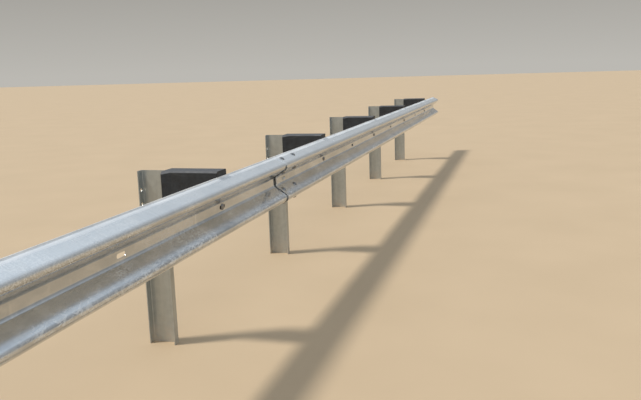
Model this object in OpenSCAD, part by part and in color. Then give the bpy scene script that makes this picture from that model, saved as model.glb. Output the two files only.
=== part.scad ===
// Highway guardrail section: six bays of W-profile steel rail on blocked-out
// channel posts, from ground level up. X runs along the rail, -Y is the traffic
// side, and the origin is on the foot of the first post, at the middle of its web.

/* [Layout] */
// Number of posts, each in the middle of its own bay
posts = 6; // [3:1:6]
// Distance between neighbouring posts
bay = 1905; // [1500:5:2000]
// Bays covered by the first rail panel, the second panel covers the rest
first_panel_bays = 2; // [1:1:2]
// Height of the post tops above the ground
post_h = 940; // [800:5:1100]
// How far the rail's top edge is below the post tops
rail_drop = 25; // [10:1:60]

/* [Rail profile] */
// Thickness of the rolled sheet
sheet = 2.67; // [2:0.01:3.5]
// Height of the profile from edge to edge
rail_h = 311; // [306:1:316]
// Depth of the profile from back to crest
rail_d = 83; // [80:1:86]
// Height of each crest above or below the middle of the profile
crest_z = 97; // [94:1:99]
// Bend radius at the middle of the sheet, in the valley and on the crests
bend_r = 25; // [20:1:28]
// Bend radius where the long edges turn back flat
edge_r = 10; // [6:1:12]
// Slope of the faces between valley and crest
inner_slope = 55; // [53:0.5:57]
// Slope of the faces between crest and edge
outer_slope = 66; // [64:0.5:67]

/* [Rail slots and splice] */
// Length of the lap where two panels are bolted together
lap = 318; // [300:1:330]
// Distance between the two columns of splice slots
splice_pitch = 216; // [200:1:230]
// Length of a splice slot along the rail
splice_slot_l = 29; // [26:1:32]
// Width of a splice slot
splice_slot_w = 23; // [20:1:24]
// Length of a post bolt slot along the rail
post_slot_l = 64; // [50:1:70]
// Width of a post bolt slot
post_slot_w = 19; // [17:1:22]

/* [Posts] */
// Depth of the post's channel section across the road line
post_d = 150; // [140:1:160]
// Width of the channel's flanges
flange_w = 46; // [42:1:60]
// Thickness of the channel
post_t = 5; // [4:0.5:6]
// Outside radius of the channel's two folds
fold_r = 9; // [7:1:12]
// Diameter of the bolt holes in the flanges
hole_d = 18; // [17:1:22]
// Depth of the upper spare hole in the back flange below the post top
spare_drop = 102; // [70:1:120]
// Distance between the two spare holes in the back flange
spare_pitch = 75; // [50:1:90]

/* [Blockouts] */
// Depth of a blockout from post to rail
block_d = 305; // [200:1:310]
// Height of a blockout
block_h = 330; // [300:1:340]
// How far a blockout's top is above the post tops
block_rise = 4; // [0:1:12]
// Width of a blockout's body
block_w = 120; // [100:1:130]
// Width of a blockout across the ears that hold the post
ear_w = 136; // [132:1:150]
// Length of an ear from its tip to where it meets the body
ear_l = 50; // [40:1:70]
// Depth of the groove between the ears
groove_d = 4; // [3:1:14]
// Width of the groove between the ears
groove_w = 106; // [102:1:112]
// Radius on the blockout's upright edges
block_r = 4; // [2:0.5:8]
// Bevel along a blockout's two long top edges
block_bevel = 8; // [2:1:12]

/* [Bolts] */
// Diameter of the bolts
bolt_d = 16; // [14:1:18]
// Diameter of a bolt's round head
head_d = 33; // [30:1:36]
// Height of a bolt's round head
head_h = 8.5; // [7:0.5:10]
// Width across the flats of a nut
nut_w = 27; // [24:1:32]
// Height of a nut
nut_h = 15; // [12:1:18]
// Diameter of a washer
washer_d = 38; // [34:1:44]
// Thickness of a washer
washer_t = 3; // [2:0.5:4]

/* [Hidden] */
$fn = 96;
cut = 1;
arc_step = 7.5;
// The post bolts run through the middle of the flanges, and the rail's slots are centred on them
bolt_x = post_t / 2 - flange_w / 2 - 1;
rail_start = bolt_x - bay / 2;
splice_x = rail_start + first_panel_bays * bay;
rail_end = rail_start + posts * bay;
rail_z = post_h - rail_drop - rail_h / 2;
block_z = post_h + block_rise - block_h;
// Rise of the mid sheet from valley to crest, and the straight lengths it leaves
rise = rail_d - sheet;
inner_len = (rise - 2 * bend_r * (1 - cos(inner_slope))) / sin(inner_slope);
outer_len = (rise - (bend_r + edge_r) * (1 - cos(outer_slope))) / sin(outer_slope);
valley_half = crest_z - 2 * bend_r * sin(inner_slope) - inner_len * cos(inner_slope);
edge_z = crest_z + (bend_r + edge_r) * sin(outer_slope) + outer_len * cos(outer_slope);
// Middles of the sloped faces, as heights above the rail's middle and depths in front of its back
inner_mid = [valley_half + bend_r * sin(inner_slope) + inner_len * cos(inner_slope) / 2,
             sheet / 2 + bend_r * (1 - cos(inner_slope)) + inner_len * sin(inner_slope) / 2];
outer_mid = [crest_z + bend_r * sin(outer_slope) + outer_len * cos(outer_slope) / 2,
             rail_d - sheet / 2 - bend_r * (1 - cos(outer_slope)) - outer_len * sin(outer_slope) / 2];

// Place of a post: the posts of the second panel stand one sheet forward, where the panels lap
function post_at(i) = [(i - 1) * bay, i > first_panel_bays ? -sheet : 0, 0];

// Points along an arc of the given centre and radius, a step every seven degrees or so
function arc(centre, radius, from, to) =
    let (steps = ceil(abs(to - from) / arc_step))
    [for (k = [0:steps]) let (a = from + (to - from) * k / steps) centre + radius * [cos(a), sin(a)]];
function reversed(list) = [for (k = [len(list) - 1:-1:0]) list[k]];
function mirrored(list) = [for (p = reversed(list)) [-p[0], p[1]]];

// One side of the profile's upper half: x is the height above the middle, y the depth in front
// of the back. Each bend has its centre on the concave side, and the offset moves the line from
// the first panel's mid sheet towards the traffic.
function half_side(offset) = concat(
    arc([valley_half, sheet / 2 + bend_r], bend_r - offset, -90, inner_slope - 90),
    arc([crest_z, rail_d - sheet / 2 - bend_r], bend_r + offset, 90 + inner_slope, 90 - outer_slope),
    arc([edge_z, sheet / 2 + edge_r], edge_r - offset, -90 - outer_slope, -90));

// The rolled profile. The layer is 0 for a panel against its blockouts and 1 for the panel
// lapped in front of it, so that the two nest face to face.
module profile(layer) {
    back = half_side((layer - 0.5) * sheet);
    front = half_side((layer + 0.5) * sheet);
    polygon(concat(mirrored(front), front, reversed(back), reversed(mirrored(back))));
}

// Turns a profile's height and depth into z and -y, and its length into x
module along_rail(start) translate([start, -post_d / 2 - block_d, rail_z])
    multmatrix([[0, 0, 1, 0], [0, -1, 0, 0], [1, 0, 0, 0]]) children();

// An oblong bar along its own y, for cutting a slot that is long in x
module slot_cutter(length, width, depth) {
    spread = (length - width) / 2;
    rotate([90, 0, 0]) translate([0, 0, -depth / 2]) {
        for (side = [-1, 1]) translate([side * spread, 0, 0]) cylinder(d = width, h = depth);
        translate([-spread, -width / 2, 0]) cube([2 * spread, width, depth]);
    }
}

// Puts its children on the middles of the four sloped faces, facing out along -y
module on_slopes() {
    for (up = [0, 1]) mirror([0, 0, up]) {
        translate([0, -inner_mid[1], inner_mid[0]]) rotate([inner_slope, 0, 0]) children();
        translate([0, -outer_mid[1], outer_mid[0]]) rotate([-outer_slope, 0, 0]) children();
    }
}

// Puts its children on the eight splice bolt places around one splice centre
module at_splice(x) translate([x, -post_d / 2 - block_d, rail_z])
    for (side = [-1, 1]) translate([side * splice_pitch / 2, 0, 0]) on_slopes() children();

// A rail panel between the middles of its two splices, with half a lap beyond each
module rail(start, end, layer) {
    length = end - start + lap;
    difference() {
        along_rail(start - lap / 2) linear_extrude(length) profile(layer);
        for (x = [start:bay / 2:end + cut]) translate([x, -post_d / 2 - block_d, rail_z])
            slot_cutter(post_slot_l, post_slot_w, 8 * sheet);
        for (x = [start, end]) at_splice(x) slot_cutter(splice_slot_l, splice_slot_w, 8 * sheet);
    }
}

// The channel section: web along y at x = 0, flanges towards -x
module channel() {
    x1 = post_t / 2;
    x0 = x1 - flange_w;
    inner_r = fold_r - post_t;
    difference() {
        union() {
            translate([x0, -post_d / 2]) square([flange_w - fold_r, post_d]);
            translate([x0, -post_d / 2 + fold_r]) square([flange_w, post_d - 2 * fold_r]);
            for (side = [-1, 1]) translate([x1 - fold_r, side * (post_d / 2 - fold_r)]) circle(fold_r);
        }
        difference() {
            translate([x0 - cut, -post_d / 2 + post_t])
                square([flange_w - post_t + cut, post_d - 2 * post_t]);
            for (side = [-1, 1]) translate([x1 - post_t - inner_r, side * (post_d / 2 - post_t - inner_r)])
                difference() {
                    translate([0, side < 0 ? -inner_r : 0]) square(inner_r);
                    circle(inner_r);
                }
        }
    }
}

// A hole through a flange: the side is 1 for the back flange and -1 for the front one
module flange_hole(side, z) translate([bolt_x, side * post_d / 2, z])
    rotate([90, 0, 0]) cylinder(d = hole_d, h = 4 * post_t, center = true);

module post(i) color([0.60, 0.61, 0.58]) translate(post_at(i)) difference() {
    linear_extrude(post_h) channel();
    flange_hole(-1, rail_z);
    for (k = [0, 1]) flange_hole(1, post_h - spare_drop - k * spare_pitch);
}

// Plan of a blockout: x along the rail, y from the post face at 0 to the rail at -block_d
module block_plan() {
    difference() {
        offset(block_r, $fn = 24) offset(-block_r) polygon([
            [-block_w / 2, -block_d], [-block_w / 2, -ear_l], [-ear_w / 2, 0], [-ear_w / 2, groove_d],
            [ear_w / 2, groove_d], [ear_w / 2, 0], [block_w / 2, -ear_l], [block_w / 2, -block_d]]);
        translate([-groove_w / 2, 0]) square([groove_w, groove_d + cut]);
    }
}

module blockout(i) color([0.22, 0.23, 0.24]) translate(post_at(i)) difference() {
    translate([0, -post_d / 2, block_z]) linear_extrude(block_h) block_plan();
    translate([bolt_x, -post_d / 2 - block_d / 2, rail_z]) rotate([90, 0, 0])
        cylinder(d = hole_d, h = block_d + 2 * cut + 2 * groove_d, center = true);
    for (side = [0, 1]) mirror([side, 0, 0])
        translate([block_w / 2, -post_d / 2 - block_d / 2, block_z + block_h - block_bevel])
            rotate([0, -45, 0]) translate([0, -block_d, -ear_w / 2]) cube([ear_w, 2 * block_d, ear_w]);
}

// A round bolt head that stands on y = 0 and rises towards -y
module round_head() {
    ball = (pow(head_d / 2, 2) + pow(head_h, 2)) / (2 * head_h);
    rotate([90, 0, 0]) intersection() {
        cylinder(d = head_d, h = head_h);
        translate([0, 0, head_h - ball]) sphere(ball);
    }
}

// A six-sided nut on a washer, standing on y = 0 and rising towards +y
module nut_and_washer() rotate([-90, 0, 0]) {
    difference() {
        union() {
            cylinder(d = washer_d, h = washer_t);
            translate([0, 0, washer_t]) cylinder(d = nut_w / cos(30), h = nut_h, $fn = 6);
        }
        translate([0, 0, -cut]) cylinder(d = bolt_d, h = washer_t + nut_h + 2 * cut);
    }
}

module post_bolt(i) color("silver") translate(post_at(i)) {
    face = post_d / 2 + block_d + sheet;
    grip = block_d + sheet + post_t + washer_t + nut_h + 6;
    translate([bolt_x, -face, rail_z]) {
        round_head();
        rotate([-90, 0, 0]) cylinder(d = bolt_d, h = grip);
    }
}

module post_nut(i) color("silver") translate(post_at(i))
    translate([bolt_x, -post_d / 2 + post_t, rail_z]) nut_and_washer();

module splice_bolts() color("silver") at_splice(splice_x) {
    translate([0, -1.5 * sheet, 0]) round_head();
    translate([0, -1.5 * sheet, 0]) rotate([-90, 0, 0]) cylinder(d = bolt_d, h = 2 * sheet + nut_h + 6);
}

module splice_nuts() color("silver") at_splice(splice_x)
    translate([0, sheet / 2, 0]) rotate([-90, 0, 0]) difference() {
        cylinder(d = nut_w / cos(30), h = nut_h, $fn = 6);
        translate([0, 0, -cut]) cylinder(d = bolt_d, h = nut_h + 2 * cut);
    }

module rail_near() color([0.72, 0.75, 0.77]) rail(rail_start, splice_x, 0);
module rail_far() color([0.72, 0.75, 0.77]) rail(splice_x, rail_end, 1);

post(1);  // post_1
post(2);  // post_2
post(3);  // post_3
post(4);  // post_4
post(5);  // post_5
post(6);  // post_6
blockout(1);  // blockout_1
blockout(2);  // blockout_2
blockout(3);  // blockout_3
blockout(4);  // blockout_4
blockout(5);  // blockout_5
blockout(6);  // blockout_6
rail_near();
rail_far();
post_bolt(1);  // post_bolt_1
post_bolt(2);  // post_bolt_2
post_bolt(3);  // post_bolt_3
post_bolt(4);  // post_bolt_4
post_bolt(5);  // post_bolt_5
post_bolt(6);  // post_bolt_6
post_nut(1);  // post_nut_1
post_nut(2);  // post_nut_2
post_nut(3);  // post_nut_3
post_nut(4);  // post_nut_4
post_nut(5);  // post_nut_5
post_nut(6);  // post_nut_6
splice_bolts();
splice_nuts();
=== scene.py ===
"""The looks of a highway guardrail section: W-profile rail, channel posts and dark blockouts."""
import math

import bmesh
import bpy
from mathutils import Matrix, Vector, noise


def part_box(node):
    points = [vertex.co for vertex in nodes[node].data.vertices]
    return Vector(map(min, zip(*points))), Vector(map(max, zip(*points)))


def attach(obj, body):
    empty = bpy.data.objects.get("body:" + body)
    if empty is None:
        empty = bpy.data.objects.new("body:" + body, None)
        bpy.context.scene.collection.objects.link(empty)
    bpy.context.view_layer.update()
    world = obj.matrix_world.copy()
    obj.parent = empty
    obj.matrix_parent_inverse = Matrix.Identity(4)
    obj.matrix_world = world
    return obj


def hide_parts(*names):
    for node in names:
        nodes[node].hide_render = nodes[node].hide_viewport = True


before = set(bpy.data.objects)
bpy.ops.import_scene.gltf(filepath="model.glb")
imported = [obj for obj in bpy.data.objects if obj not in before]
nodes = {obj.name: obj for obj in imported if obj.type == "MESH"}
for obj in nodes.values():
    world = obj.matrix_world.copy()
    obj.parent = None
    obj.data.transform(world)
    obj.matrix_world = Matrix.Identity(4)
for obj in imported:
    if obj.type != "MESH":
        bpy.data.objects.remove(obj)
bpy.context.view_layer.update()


def nodes_named(start):
    """The CAD nodes whose name is the start and a number, in order."""
    found = [n for n in nodes if n.startswith(start) and n[len(start):].isdigit()]
    return sorted(found, key=lambda n: int(n[len(start):]))


POSTS = nodes_named("post_")
BLOCKOUTS = nodes_named("blockout_")

# The rolled sheet, in metres and degrees, with heights from the rail's middle
SHEET = 0.00267
CREST_Z, CREST_R, EDGE_R = 0.097, 0.025, 0.010
RAIL_DEPTH = 0.083
INNER_SLOPE, OUTER_SLOPE = 55, 66
ARC_STEP = 3.5
SIDES = (1, -1)

# The bolted lap, the slots as length and width, and how thick their cutters are
LAP, SPLICE_PITCH = 0.318, 0.216
SPLICE_SLOT = (0.029, 0.023)
POST_SLOT = (0.064, 0.019)
SLOT_STEPS = 12
CUT_DEPTH = 16 * SHEET

# Bolts, nuts and washers, and how many faces go round each
BOLT_R, BOLT_TAIL, BOLT_FACES = 0.008, 0.006, 24
HEAD_R, HEAD_H, HEAD_RIM, HEAD_STEPS = 0.0165, 0.0085, 0.0005, 8
NUT_W, NUT_H, NUT_CHAMFER, NUT_FACES = 0.027, 0.015, 0.0022, 48
WASHER_R, WASHER_T, WASHER_FACES = 0.019, 0.003, 32
# The thread, the rings for each of its turns, and the least length of plain shank before it
THREAD_PITCH, THREAD_DEPTH, THREAD_L, THREAD_RINGS = 0.002, 0.0011, 0.045, 4
PLAIN_SHANK = 0.001
# The shank's tip as a share of its radius, and the small ring that a turned end closes on
TIP, CLOSING = 0.8, 0.1

# Where the CAD part has the rail, the lap and the posts
rail_low, rail_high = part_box("rail_near")
BACK_Y = rail_high.y
RAIL_Z = (rail_low.z + rail_high.z) / 2
SPLICE_X = rail_high.x - LAP / 2
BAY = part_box(POSTS[1])[0].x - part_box(POSTS[0])[0].x

# How far a panel wanders from straight, over what length and height, and what parts its two waves
WAVE, WAVE_L, WAVE_H, WAVE_SHIFT = 0.0009, 0.55, 0.25, 7.3
# The gap at the outer panel's end, where it springs off the inner one, and the rings along it
SPRING_GAP, SPRING_L, SPRING_RINGS = 0.0078, 0.070, 4
# How far the gap reaches from the valley's middle, and its share lower down, fading out upwards
VALLEY_REACH = 0.05
LOW_SHARE, LOW_TOP_Z, LOW_FADE = 0.6, CREST_Z + 0.018, 0.03
# The longest stretch of a panel without a ring
STATION = 0.08
# Bends up to this angle are shaded smooth, and a CAD node's sharper edges are rounded this wide
SMOOTH_ANGLE = math.radians(28)
POST_EDGE, BLOCKOUT_EDGE, EDGE_STEPS = 0.0008, 0.003, 3

# Heights above the ground where the rail's top slope with its painted sunlight, its top edge with
# its painted highlight and the worn band on its lower crest with its painted reflection begin,
# where that band ends, and over how much height each comes in or goes out
SLOPE_Z, SLOPE_FADE = 0.850, 0.022
RIM_Z, RIM_FADE = 0.899, 0.008
WORN_SHEEN_Z, WORN_SHEEN_FADE = 0.652, 0.014
WORN_SHEEN_TOP_Z, WORN_SHEEN_TOP_FADE = 0.706, 0.026
# How high the ground's dust reaches up the posts
DUST_TOP_Z = 0.22

# The colours of each finish
RAIL_SHEET, RAIL_CLOUD, RAIL_DULL = (0.56, 0.59, 0.62), (0.46, 0.49, 0.52), (0.42, 0.45, 0.48)
# The top slope's colour is painted sunlight, the rim's a painted highlight, and the worn band's is
# wear with a painted reflection
RAIL_SLOPE_SUNLIT, RAIL_PATCH, RAIL_FROST = (0.69, 0.75, 0.80), (0.78, 0.80, 0.81), (0.82, 0.86, 0.89)
RAIL_WORN_SHEEN, RAIL_SCUFF, RAIL_RIM_HIGHLIGHT = (0.84, 0.88, 0.91), (0.86, 0.89, 0.91), (0.90, 0.92, 0.93)
# The post's streak colour is partly a painted reflection
POST_DARK, POST_PALE, POST_STREAK_SHEEN = (0.39, 0.415, 0.41), (0.45, 0.475, 0.46), (0.52, 0.54, 0.53)
POST_DUST = (0.55, 0.45, 0.32)
BLOCKOUT_DARK, BLOCKOUT_PALE = (0.014, 0.016, 0.019), (0.030, 0.034, 0.038)
# The blockout's top colour is dust with painted skylight
BLOCKOUT_SCUFF, BLOCKOUT_DUST_SKYLIGHT = (0.085, 0.084, 0.080), (0.090, 0.093, 0.100)
# The bolt colours are darker partly as painted shade
BOLT_SHADED_DARK, BOLT_SHADED_PALE, BOLT_STAIN = (0.22, 0.22, 0.22), (0.32, 0.32, 0.32), (0.13, 0.11, 0.10)
FLOOR_DARK, FLOOR_PALE = (0.55, 0.415, 0.265), (0.58, 0.44, 0.285)

# The photograph's width and its lens, in pixels
PHOTO_W, FOCAL_PX = 641, 708.3
# The camera stands before the first post on the traffic side, in metres and degrees
CAMERA_AT = Vector((-1.366, -1.842, 1.431))
CAMERA_YAW, CAMERA_PITCH, CAMERA_ROLL = 16.14, 10.48, -1.77
# The sensor's width in millimetres, and the nearest and farthest that the camera sees
SENSOR_W = 36
CLIP_START, CLIP_END = 0.05, 300

# The lamps: the way each shines, its level, its colour and its spread in degrees
KEY = (Vector((0.28, -0.57, -1)), 2.4, (1.0, 0.96, 0.90), 8)
FILL = (Vector((0.8, 0.5, -0.45)), 0.4, (0.95, 0.98, 1.0), 60)
# The sky's level, and its colours by height, from the horizon (0) to straight up (1)
SKY_LEVEL = 1.0
SKY = ((0.0, (0.50, 0.485, 0.45)), (0.18, (0.30, 0.288, 0.262)), (0.28, (0.41, 0.41, 0.41)),
       (0.48, (0.46, 0.49, 0.52)), (0.64, (0.78, 0.85, 0.92)), (0.80, (0.42, 0.50, 0.60)),
       (1.0, (0.24, 0.30, 0.40)))
# The floor's width and length
FLOOR_SIZE = 200


class Look:
    """A material worked out from the place on the part, in metres in the part's own frame."""

    def __init__(self, name):
        self.material = bpy.data.materials.new(name)
        self.material.use_nodes = True
        self.tree = self.material.node_tree
        self.shader = self.tree.nodes["Principled BSDF"]
        self.place = self.add("ShaderNodeTexCoord").outputs["Object"]

    def feed(self, socket, value):
        """Links an input to the value where that is an output, or sets it to the value."""
        if isinstance(value, bpy.types.NodeSocket):
            self.tree.links.new(value, socket)
        else:
            socket.default_value = value

    def add(self, kind, inputs=None, **settings):
        """A node with these settings and inputs."""
        node = self.tree.nodes.new(kind)
        for key, value in settings.items():
            setattr(node, key, value)
        for key, value in (inputs or {}).items():
            self.feed(node.inputs[key], value)
        return node

    def noise(self, scale, detail, axes=None, distortion=0.0):
        """A noise of that scale, which the axes make finer or coarser along x, y and z."""
        at = self.place
        if axes:
            at = self.add("ShaderNodeMapping", {"Vector": at, "Scale": axes}).outputs[0]
        return self.add("ShaderNodeTexNoise", {"Vector": at, "Scale": scale, "Detail": detail,
                                               "Distortion": distortion}).outputs["Fac"]

    def cells(self, scale):
        """A random shade for each grain of a crystal pattern."""
        grains = self.add("ShaderNodeTexVoronoi", {"Vector": self.place, "Scale": scale})
        return self.add("ShaderNodeSeparateColor", {"Color": grains.outputs["Color"]}).outputs[0]

    def levels(self, value, low, high, to_low=0.0, to_high=1.0):
        """The value's range from low to high, spread over a new range and held there."""
        return self.add("ShaderNodeMapRange", {"Value": value, "From Min": low, "From Max": high,
                                               "To Min": to_low, "To Max": to_high}).outputs[0]

    def marks(self, scale, detail, low, high, axes=None, distortion=0.0, least=0.0, most=1.0):
        """Marks of a noise: least where it is low, and most where it is high."""
        return self.levels(self.noise(scale, detail, axes, distortion), low, high, least, most)

    def combined(self, operation, a, b):
        """Two values as one."""
        return self.add("ShaderNodeMath", {0: a, 1: b}, operation=operation).outputs[0]

    def times(self, a, b):
        """The product of two values."""
        return self.combined("MULTIPLY", a, b)

    def plus(self, a, b):
        """The sum of two values."""
        return self.combined("ADD", a, b)

    def larger(self, a, b):
        """The larger of two values."""
        return self.combined("MAXIMUM", a, b)

    def height(self):
        """The height above the ground."""
        return self.add("ShaderNodeSeparateXYZ", {"Vector": self.place}).outputs["Z"]

    def from_height(self, z, fade):
        """Rises from 0 at a height to 1 over the fade, downwards where that is negative."""
        return self.levels(self.height(), z, z + fade)

    def facing_up(self):
        """How far the surface faces the sky, from -1 to 1."""
        normal = self.add("ShaderNodeNewGeometry").outputs["Normal"]
        return self.add("ShaderNodeSeparateXYZ", {"Vector": normal}).outputs["Z"]

    def blend(self, factor, a, b):
        """Colour a where the factor is 0 and b where it is 1."""
        a, b = ((*c, 1) if isinstance(c, tuple) else c for c in (a, b))
        # The node has inputs for several kinds of data: 6 and 7 are its colours, 2 the mixed one
        return self.add("ShaderNodeMix", {0: factor, 6: a, 7: b}, data_type="RGBA").outputs[2]

    def layered(self, colour, *layers):
        """The colour with layers over it, each as where it lies, its strength and its colour."""
        for where, strength, over in layers:
            colour = self.blend(self.times(where, strength), colour, over)
        return colour

    def finish(self, colour, roughness, metallic=0.0, height=None, depth=0.0):
        """Joins the parts of the look to the shader, with the height as a bump that deep."""
        self.feed(self.shader.inputs["Base Color"], colour)
        self.feed(self.shader.inputs["Roughness"], roughness)
        self.feed(self.shader.inputs["Metallic"], metallic)
        if height is not None:
            bump = self.add("ShaderNodeBump",
                            {"Height": height, "Distance": depth, "Strength": 1.0})
            self.feed(self.shader.inputs["Normal"], bump.outputs[0])
        return self.material


def rail_finish():
    """Galvanised sheet with frost, runs and scuffs; painted sunlight on top, a painted highlight
    on its edge, and wear with a painted reflection on its lower crest.
    """
    look = Look("galvanised_rail")
    spangle = look.levels(look.cells(150), 0, 1)
    cloud = look.marks(4, 3, 0.40, 0.64, (0.5, 1, 1.4), distortion=0.6)
    patch = look.marks(20, 2, 0.46, 0.66, (0.6, 1, 1), distortion=0.8)
    runs = look.marks(30, 3, 0.45, 0.75, (0.10, 1, 1))
    scuff = look.marks(3, 2, 0.66, 0.74, (9, 0.8, 0.8))
    hatch = look.marks(4, 3, 0.45, 0.65, (45, 3, 3))
    frost = look.times(look.marks(170, 3, 0.48, 0.58), look.marks(5, 2, 0.43, 0.55, (0.5, 1, 1)))
    # The band on the lower crest: wear, with a painted reflection of the sky
    worn_and_sheen = look.times(look.from_height(WORN_SHEEN_Z, WORN_SHEEN_FADE),
                      look.from_height(WORN_SHEEN_TOP_Z, -WORN_SHEEN_TOP_FADE))
    worn_and_sheen = look.times(worn_and_sheen, look.marks(75, 4, 0.47, 0.60, (0.45, 1, 1), distortion=0.8))
    worn_and_sheen = look.times(worn_and_sheen, look.marks(4, 2, 0.36, 0.52, (0.6, 1, 1), least=0.25))
    # The top slope painted paler: painted sunlight
    slope = look.from_height(SLOPE_Z, SLOPE_FADE)
    # The top edge painted near white: a painted highlight
    rim_highlight = look.from_height(RIM_Z, RIM_FADE)
    rim_highlight = look.times(rim_highlight, look.marks(12, 4, 0.30, 0.55, (0.4, 1, 1), least=0.45))
    colour = look.blend(cloud, RAIL_SHEET, RAIL_CLOUD)
    colour = look.layered(colour, (slope, 0.8, RAIL_SLOPE_SUNLIT), (patch, 0.28, RAIL_PATCH),
                          (hatch, 0.20, RAIL_DULL), (frost, 0.62, RAIL_FROST),
                          (worn_and_sheen, 0.70, RAIL_WORN_SHEEN), (scuff, 0.40, RAIL_SCUFF),
                          (spangle, 0.05, RAIL_DULL))
    colour = look.blend(rim_highlight, colour, RAIL_RIM_HIGHLIGHT)
    rough = look.levels(look.plus(cloud, patch), 0, 2.0, 0.14, 0.20)
    for where, more in ((slope, 0.06), (runs, 0.04), (rim_highlight, 0.20)):
        rough = look.plus(rough, look.times(where, more))
    matt = look.larger(look.larger(slope, look.times(frost, 0.6)), worn_and_sheen)
    metal = look.times(look.levels(matt, 0, 1, 0.86, 0.45), look.levels(rim_highlight, 0, 1, 1.0, 0.25))
    dents = look.times(look.noise(6, 1, (0.5, 1, 1)), 1.1)
    grain = look.times(look.noise(30, 1), 0.03)
    return look.finish(colour, rough, metal, height=look.plus(dents, grain), depth=0.0003)


def post_finish():
    """Dull grey galvanised channel with faint upright streaks, partly a painted reflection, and
    pale dust at its foot.
    """
    look = Look("galvanised_post")
    mottle = look.marks(30, 6, 0.36, 0.66)
    # Upright streaks, partly in the zinc and partly a painted reflection
    streak_sheen = look.marks(45, 4, 0.42, 0.70, (1, 1, 0.07))
    foot = look.from_height(DUST_TOP_Z, -DUST_TOP_Z)
    dust = look.times(look.times(foot, foot), look.marks(22, 5, 0.30, 0.60))
    colour = look.blend(mottle, POST_DARK, POST_PALE)
    colour = look.layered(colour, (streak_sheen, 0.35, POST_STREAK_SHEEN), (dust, 0.7, POST_DUST))
    rough = look.plus(look.levels(mottle, 0, 1, 0.30, 0.38), look.times(dust, 0.3))
    metal = look.levels(dust, 0, 1, 0.64, 0.0)
    return look.finish(colour, rough, metal, height=look.noise(40, 1), depth=0.0001)


def blockout_finish():
    """Matt dark recycled composite, scuffed at the sides, with dust and painted skylight on its
    upper faces.
    """
    look = Look("blockout")
    mottle = look.marks(24, 7, 0.35, 0.68, distortion=0.5)
    scuff = look.marks(14, 6, 0.56, 0.72, (1, 0.5, 2.2), distortion=1.2)
    # Faces turned up paler: dust with painted skylight
    up = look.levels(look.facing_up(), 0.25, 0.75)
    dust = look.times(up, look.marks(30, 5, 0.25, 0.60, (1, 0.35, 1), least=0.62, most=0.95))
    colour = look.blend(mottle, BLOCKOUT_DARK, BLOCKOUT_PALE)
    colour = look.layered(colour, (scuff, 0.35, BLOCKOUT_SCUFF))
    colour = look.blend(dust, colour, BLOCKOUT_DUST_SKYLIGHT)
    rough = look.levels(mottle, 0, 1, 0.55, 0.75)
    grain = look.plus(look.noise(90, 5), look.times(look.noise(16, 3), 1.5))
    return look.finish(colour, rough, height=grain, depth=0.0016)


def fastener_finish():
    """Galvanised bolt steel, duller and rougher than the rail, darkened partly as painted shade,
    with brown stains.
    """
    look = Look("fastener")
    mottle = look.marks(240, 5, 0.38, 0.64)
    stain = look.marks(60, 3, 0.52, 0.70)
    colour = look.blend(mottle, BOLT_SHADED_DARK, BOLT_SHADED_PALE)
    colour = look.layered(colour, (stain, 0.6, BOLT_STAIN))
    rough = look.levels(mottle, 0, 1, 0.28, 0.36)
    return look.finish(colour, rough, metallic=0.85, height=look.noise(300, 4), depth=0.0003)


def floor_finish():
    """Plain pale ground with the faintest unevenness of tone."""
    look = Look("floor")
    tone = look.marks(1.2, 5, 0.3, 0.7)
    colour = look.blend(tone, FLOOR_DARK, FLOOR_PALE)
    return look.finish(colour, look.levels(tone, 0, 1, 0.85, 0.95))


def even_normals(piece):
    """Keeps flat faces flat in the shading, beside bends and bevels."""
    piece.modifiers.new("normals", "WEIGHTED_NORMAL").keep_sharp = True


def add_piece(name, mesh, material, node):
    """A piece of the part made of that mesh, standing for the CAD node of its place."""
    mesh.shade_smooth()
    mesh.set_sharp_from_angle(angle=SMOOTH_ANGLE)
    mesh.materials.clear()
    mesh.materials.append(material)
    piece = bpy.data.objects.new(name, mesh)
    bpy.context.scene.collection.objects.link(piece)
    even_normals(piece)
    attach(piece, "root")
    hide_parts(node)


def mesh_of(name, points, faces):
    """A mesh with its faces turned outwards."""
    build = bmesh.new()
    made = [build.verts.new(p) for p in points]
    for face in faces:
        build.faces.new([made[i] for i in face])
    bmesh.ops.recalc_face_normals(build, faces=build.faces)
    mesh = bpy.data.meshes.new(name)
    build.to_mesh(mesh)
    build.free()
    return mesh


def closed_stack(rings):
    """Points and faces of rings of the same length, joined in turn, with both ends closed."""
    n = len(rings[0])
    points = [p for ring in rings for p in ring]
    faces = [(i * n + j, i * n + (j + 1) % n, (i + 1) * n + (j + 1) % n, (i + 1) * n + j)
             for i in range(len(rings) - 1) for j in range(n)]
    faces += [tuple(range(n)), tuple(range(len(points) - n, len(points)))]
    return points, faces


def joined(parts):
    """Points and faces of several parts as one."""
    points, faces = [], []
    for part_points, part_faces in parts:
        faces += [tuple(i + len(points) for i in face) for face in part_faces]
        points += part_points
    return points, faces


def moved(part, matrix):
    """Points and faces of a part, moved by the matrix."""
    points, faces = part
    return [matrix @ Vector(p) for p in points], faces


def sin(angle):
    """The sine of an angle in degrees."""
    return math.sin(math.radians(angle))


def cos(angle):
    """The cosine of an angle in degrees."""
    return math.cos(math.radians(angle))


# The straight lengths of the profile and where its bends have their centres
RISE = RAIL_DEPTH - SHEET
INNER_L = (RISE - 2 * CREST_R * (1 - cos(INNER_SLOPE))) / sin(INNER_SLOPE)
OUTER_L = (RISE - (CREST_R + EDGE_R) * (1 - cos(OUTER_SLOPE))) / sin(OUTER_SLOPE)
VALLEY_HALF = CREST_Z - 2 * CREST_R * sin(INNER_SLOPE) - INNER_L * cos(INNER_SLOPE)
EDGE_Z = CREST_Z + (CREST_R + EDGE_R) * sin(OUTER_SLOPE) + OUTER_L * cos(OUTER_SLOPE)
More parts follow.
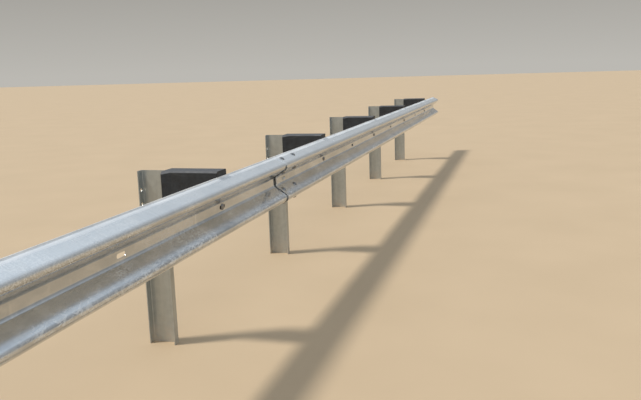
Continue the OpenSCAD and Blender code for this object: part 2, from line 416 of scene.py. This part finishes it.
# Middles of the sloped faces: height from the rail's middle, depth in front of its back, and slope
INNER_MID = (VALLEY_HALF + CREST_R * sin(INNER_SLOPE) + INNER_L * cos(INNER_SLOPE) / 2,
             SHEET / 2 + CREST_R * (1 - cos(INNER_SLOPE)) + INNER_L * sin(INNER_SLOPE) / 2,
             INNER_SLOPE)
OUTER_MID = (CREST_Z + CREST_R * sin(OUTER_SLOPE) + OUTER_L * cos(OUTER_SLOPE) / 2,
             RAIL_DEPTH - SHEET / 2 - CREST_R * (1 - cos(OUTER_SLOPE))
             - OUTER_L * sin(OUTER_SLOPE) / 2,
             -OUTER_SLOPE)


def arc(z, depth, radius, start, end):
    """Heights and depths along a bend about that centre."""
    steps = math.ceil(abs(end - start) / ARC_STEP)
    angles = [start + (end - start) * k / steps for k in range(steps + 1)]
    return [(z + radius * cos(a), depth + radius * sin(a)) for a in angles]


def half_side(offset):
    """The profile's upper half, as heights and depths, that far in front of the mid sheet."""
    return (arc(VALLEY_HALF, SHEET / 2 + CREST_R, CREST_R - offset, -90, INNER_SLOPE - 90)
            + arc(CREST_Z, RAIL_DEPTH - SHEET / 2 - CREST_R, CREST_R + offset,
                  90 + INNER_SLOPE, 90 - OUTER_SLOPE)
            + arc(EDGE_Z, SHEET / 2 + EDGE_R, EDGE_R - offset, -90 - OUTER_SLOPE, -90))


def profile(layer):
    """The sheet's closed outline, for the panel on the blockouts (0) or the one over it (1)."""
    back, front = (half_side((layer + side) * SHEET) for side in (-0.5, 0.5))
    lower_front, lower_back = ([(-z, depth) for z, depth in side] for side in (front, back))
    return lower_front[::-1] + front + back[::-1] + lower_back


def wander(x, z):
    """The small wave of a long panel, the same for both layers of the lap."""
    at = Vector((x / WAVE_L, z / WAVE_H, 0.0))
    return WAVE * noise.noise(at), WAVE * noise.noise(at + Vector((0, 0, WAVE_SHIFT)))


def spring(x, z, outer_start):
    """How far the outer panel's end stands off the inner one, most in the valley."""
    away = max(0.0, 1 - (x - outer_start) / SPRING_L)
    in_valley = math.exp(-(z / VALLEY_REACH) ** 2)
    low_down = LOW_SHARE * min(1.0, max(0.0, (LOW_TOP_Z - z) / LOW_FADE))
    return SPRING_GAP * away ** 2 * max(in_valley, low_down)


def slot_cutter(length, width):
    """An oblong bar along y, for a slot that is long in x."""
    outline = []
    for side in SIDES:
        for k in range(SLOT_STEPS + 1):
            angle = 180 * k / SLOT_STEPS - 90 + (0 if side > 0 else 180)
            x = side * (length - width) / 2 + width / 2 * cos(angle)
            outline.append((x, width / 2 * sin(angle)))
    return closed_stack([[(x, y, z) for x, z in outline] for y in (-CUT_DEPTH / 2, CUT_DEPTH / 2)])


def splice_places(x):
    """The places of the eight bolts round a lap's middle, each facing out along its own -y."""
    places = []
    for column in SIDES:
        for up in SIDES:
            for z, depth, slope in (INNER_MID, OUTER_MID):
                at = Vector((x + column * SPLICE_PITCH / 2, BACK_Y - depth, RAIL_Z + up * z))
                turn = Matrix.Rotation(math.radians(up * slope), 4, "X")
                places.append(Matrix.Translation(at) @ turn)
    return places


def add_panel(name, node, layer, material):
    """A rolled panel with its slots cut, nested over the other one where they lap."""
    low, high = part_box(node)
    count = math.ceil((high.x - low.x) / STATION)
    stations = [low.x + SPRING_L * k / SPRING_RINGS for k in range(SPRING_RINGS)]
    stations += [low.x + (high.x - low.x) * k / count for k in range(1, count + 1)]
    outline = profile(layer)

    def place(x, z, depth):
        sideways, upwards = wander(x, z)
        off = spring(x, z, low.x) if layer else 0
        return Vector((x, BACK_Y - depth + sideways - off, RAIL_Z + z + upwards))

    rings = [[place(x, z, depth) for z, depth in outline] for x in sorted(stations)]
    start, end = low.x + LAP / 2, high.x - LAP / 2
    bays = round(2 * (end - start) / BAY)
    cutters = [moved(slot_cutter(*POST_SLOT),
                     Matrix.Translation((start + (end - start) * k / bays, BACK_Y, RAIL_Z)))
               for k in range(bays + 1)]
    cutters += [moved(slot_cutter(*SPLICE_SLOT), at)
                for x in (start, end) for at in splice_places(x)]
    mesh = cut_away(mesh_of(name, *closed_stack(rings)), mesh_of("slots", *joined(cutters)))
    add_piece(name, mesh, material, node)


def cut_away(mesh, cutter):
    """The mesh without the cutter's inside."""
    body, tool = (bpy.data.objects.new(m.name, m) for m in (mesh, cutter))
    for o in (body, tool):
        bpy.context.scene.collection.objects.link(o)
    boolean = body.modifiers.new("cut", "BOOLEAN")
    boolean.object, boolean.operation, boolean.solver = tool, "DIFFERENCE", "MANIFOLD"
    cut = body.evaluated_get(bpy.context.evaluated_depsgraph_get())
    result = bpy.data.meshes.new_from_object(cut)
    for o in (body, tool):
        bpy.data.objects.remove(o)
    return result


def turned(rows, faces, radius=lambda angle, height, r: r):
    """A solid turned about y from (height, radius) rows, its height rising towards -y."""
    angles = [2 * math.pi * k / faces for k in range(faces)]
    return closed_stack([[(radius(a, h, r) * math.cos(a), -h, radius(a, h, r) * math.sin(a))
                          for a in angles] for h, r in rows])


def bolt(shank):
    """A round-headed bolt standing on y = 0, with a thread on the last of its shank."""
    dome = HEAD_H - HEAD_RIM
    ball = (HEAD_R ** 2 + dome ** 2) / (2 * dome)
    edge = math.degrees(math.asin(HEAD_R / ball))
    turns = [edge * max(k, CLOSING) / HEAD_STEPS for k in range(HEAD_STEPS + 1)]
    rows = [(HEAD_H - ball * (1 - cos(a)), ball * sin(a)) for a in turns]
    rows += [(0, HEAD_R), (0, BOLT_R)]
    start = max(shank - THREAD_L, PLAIN_SHANK)
    steps = round((shank - start) / THREAD_PITCH * THREAD_RINGS)
    rows += [(-start - (shank - start) * k / steps, BOLT_R) for k in range(steps)]
    rows += [(-shank, BOLT_R * TIP), (-shank, BOLT_R * CLOSING)]

    def threaded(angle, height, r):
        if r != BOLT_R or height > -start:
            return r
        turn = (height / THREAD_PITCH + angle / (2 * math.pi)) % 1
        return r - THREAD_DEPTH * abs(2 * turn - 1)

    return turned(rows, BOLT_FACES, threaded)


def nut(foot):
    """A six-sided nut with turned-off corners, standing that far behind y = 0."""
    half = NUT_W / 2
    corner = half / cos(30)
    rows = [(-foot, half), (-foot - NUT_CHAMFER, corner), (-foot - NUT_H + NUT_CHAMFER, corner),
            (-foot - NUT_H, half), (-foot - NUT_H, BOLT_R)]

    def six_sided(angle, height, r):
        across = (math.degrees(angle) + 30) % 60 - 30
        return min(r, half / cos(across))

    return turned(rows, NUT_FACES, six_sided)


def washer():
    """A washer with its front on y = 0."""
    return turned([(0, WASHER_R), (-WASHER_T, WASHER_R), (-WASHER_T, BOLT_R)], WASHER_FACES)


def add_post_bolt(number, material):
    """The long bolt from the rail's valley through blockout and post, and its nut on a washer."""
    head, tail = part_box(f"post_bolt_{number}")
    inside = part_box(f"post_nut_{number}")[0].y
    x, z = (head.x + tail.x) / 2, (head.z + tail.z) / 2
    face = head.y + HEAD_H
    made = mesh_of("bolt", *moved(bolt(tail.y - face), Matrix.Translation((x, face, z))))
    add_piece(f"rail_bolt_{number}", made, material, f"post_bolt_{number}")
    seated = joined([washer(), nut(WASHER_T)])
    made = mesh_of("nut", *moved(seated, Matrix.Translation((x, inside, z))))
    add_piece(f"washer_nut_{number}", made, material, f"post_nut_{number}")


def add_splice_bolts(material):
    """The eight bolts that clamp the lap, with their nuts behind it."""
    shank = 2 * SHEET + NUT_H + BOLT_TAIL
    in_front, behind = (Matrix.Translation((0, y, 0)) for y in (-1.5 * SHEET, SHEET / 2))
    places = splice_places(SPLICE_X)
    heads = [moved(bolt(shank), place @ in_front) for place in places]
    nuts = [moved(nut(0), place @ behind) for place in places]
    add_piece("lap_bolts", mesh_of("bolts", *joined(heads)), material, "splice_bolts")
    add_piece("lap_nuts", mesh_of("nuts", *joined(nuts)), material, "splice_nuts")


def dress_node(name, material, edge):
    """Gives a CAD node its material and takes the sharpness off its edges."""
    node = nodes[name]
    node.data.materials.clear()
    node.data.materials.append(material)
    bevel = node.modifiers.new("edges", "BEVEL")
    bevel.width, bevel.segments = edge, EDGE_STEPS
    bevel.limit_method, bevel.angle_limit = "ANGLE", SMOOTH_ANGLE
    even_normals(node)


def add_floor():
    """A level plane at the part's foot."""
    half = FLOOR_SIZE / 2
    corners = [(-half, -half, 0), (half, -half, 0), (half, half, 0), (-half, half, 0)]
    mesh = mesh_of("floor", corners, [(0, 1, 2, 3)])
    mesh.materials.append(floor_finish())
    floor = bpy.data.objects.new("floor", mesh)
    bpy.context.scene.collection.objects.link(floor)


def add_sky():
    """A dim band over a paler horizon, bright haze high above it and blue overhead."""
    world = bpy.data.worlds.new("sky")
    bpy.context.scene.world = world
    world.use_nodes = True
    tree = world.node_tree
    background = tree.nodes["Background"]
    place = tree.nodes.new("ShaderNodeTexCoord")
    split = tree.nodes.new("ShaderNodeSeparateXYZ")
    ramp = tree.nodes.new("ShaderNodeValToRGB")
    tree.links.new(place.outputs["Generated"], split.inputs[0])
    tree.links.new(split.outputs["Z"], ramp.inputs[0])
    tree.links.new(ramp.outputs[0], background.inputs["Color"])
    stops = ramp.color_ramp.elements
    while len(stops) < len(SKY):
        stops.new(1)
    for stop, (height, colour) in zip(stops, SKY):
        stop.position, stop.color = height, (*colour, 1)
    background.inputs["Strength"].default_value = SKY_LEVEL


def add_lamp(name, way, level, colour, spread):
    """A distant lamp that shines that way."""
    sun = bpy.data.lights.new(name, "SUN")
    sun.energy, sun.color = level, colour
    sun.angle = math.radians(spread)
    lamp = bpy.data.objects.new(name, sun)
    lamp.rotation_mode = "QUATERNION"
    lamp.rotation_quaternion = way.to_track_quat("-Z", "Y")
    bpy.context.scene.collection.objects.link(lamp)


def add_camera():
    """The camera of the photograph."""
    yaw, pitch, roll = (math.radians(a) for a in (CAMERA_YAW, CAMERA_PITCH, CAMERA_ROLL))
    ahead = Vector((math.cos(pitch) * math.cos(yaw), math.cos(pitch) * math.sin(yaw),
                    -math.sin(pitch)))
    level_right = Vector((math.sin(yaw), -math.cos(yaw), 0))
    level_up = level_right.cross(ahead)
    right = level_right * math.cos(roll) + level_up * math.sin(roll)
    up = level_up * math.cos(roll) - level_right * math.sin(roll)
    data = bpy.data.cameras.new("camera")
    data.sensor_fit = "HORIZONTAL"
    data.sensor_width = SENSOR_W
    data.lens = FOCAL_PX / PHOTO_W * SENSOR_W
    data.clip_start, data.clip_end = CLIP_START, CLIP_END
    camera = bpy.data.objects.new("camera", data)
    axes = Matrix((right, up, -ahead)).transposed()
    camera.matrix_world = Matrix.Translation(CAMERA_AT) @ axes.to_4x4()
    bpy.context.scene.collection.objects.link(camera)
    bpy.context.scene.camera = camera


rail_material, fastener_material = rail_finish(), fastener_finish()
add_panel("near_panel", "rail_near", 0, rail_material)
add_panel("far_panel", "rail_far", 1, rail_material)
add_splice_bolts(fastener_material)
for number in range(1, len(POSTS) + 1):
    add_post_bolt(number, fastener_material)
post_material, blockout_material = post_finish(), blockout_finish()
for name in POSTS:
    dress_node(name, post_material, POST_EDGE)
for name in BLOCKOUTS:
    dress_node(name, blockout_material, BLOCKOUT_EDGE)

add_floor()
add_sky()
add_lamp("key", *KEY)
add_lamp("fill", *FILL)
add_camera()
bpy.context.scene.view_settings.view_transform = "Standard"
